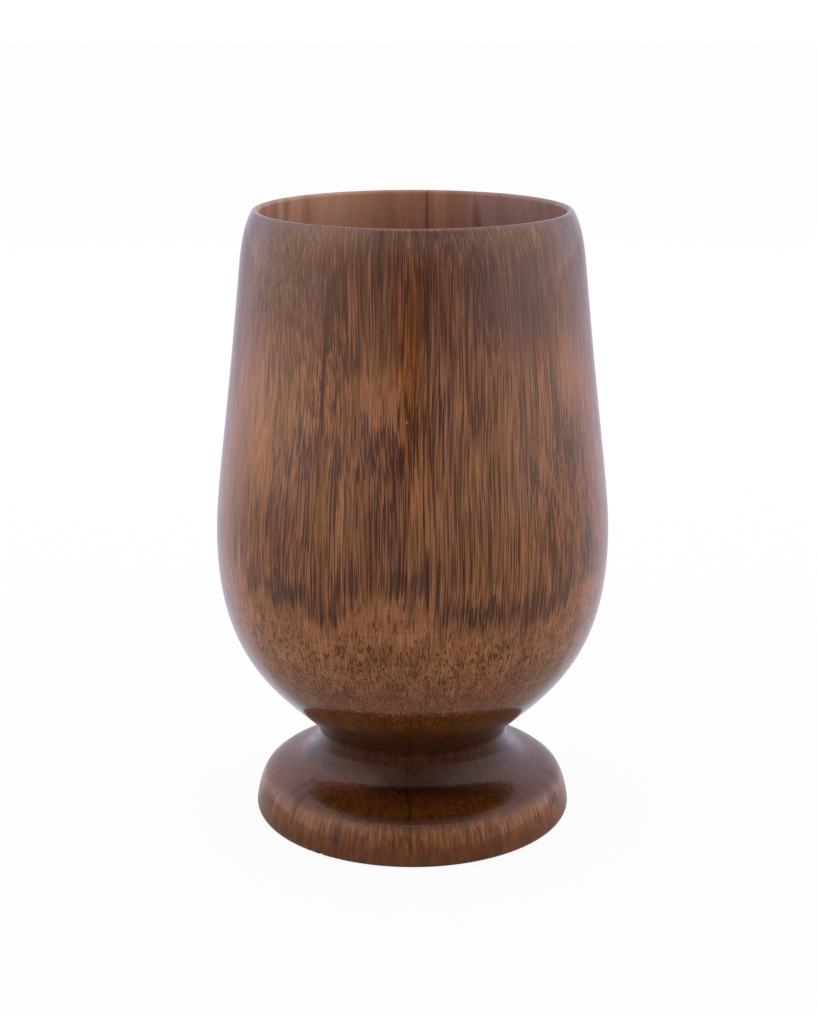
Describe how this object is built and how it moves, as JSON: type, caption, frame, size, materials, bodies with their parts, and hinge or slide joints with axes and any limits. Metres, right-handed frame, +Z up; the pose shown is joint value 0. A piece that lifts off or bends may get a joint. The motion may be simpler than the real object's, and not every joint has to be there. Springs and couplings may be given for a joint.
{
  "type": "wooden chalice",
  "caption": "Turned wooden chalice with a deep rounded bowl, a short coved neck and a low rounded foot, for holding a drink.",
  "frame": {"origin": "centre of the foot's underside, on the table", "axes": "+Z up the cup's axis from the foot to the lip; -Y is the front, the side that the picture shows; +X is the picture's right"},
  "size_m": [0.0824, 0.0824, 0.13],
  "materials": {
    "wood": "clear glossy lacquer over reddish brown wood with dark vessel lines"
  },
  "bodies": {
    "root": {"chalice": "wood"}
  },
  "joints": []
}
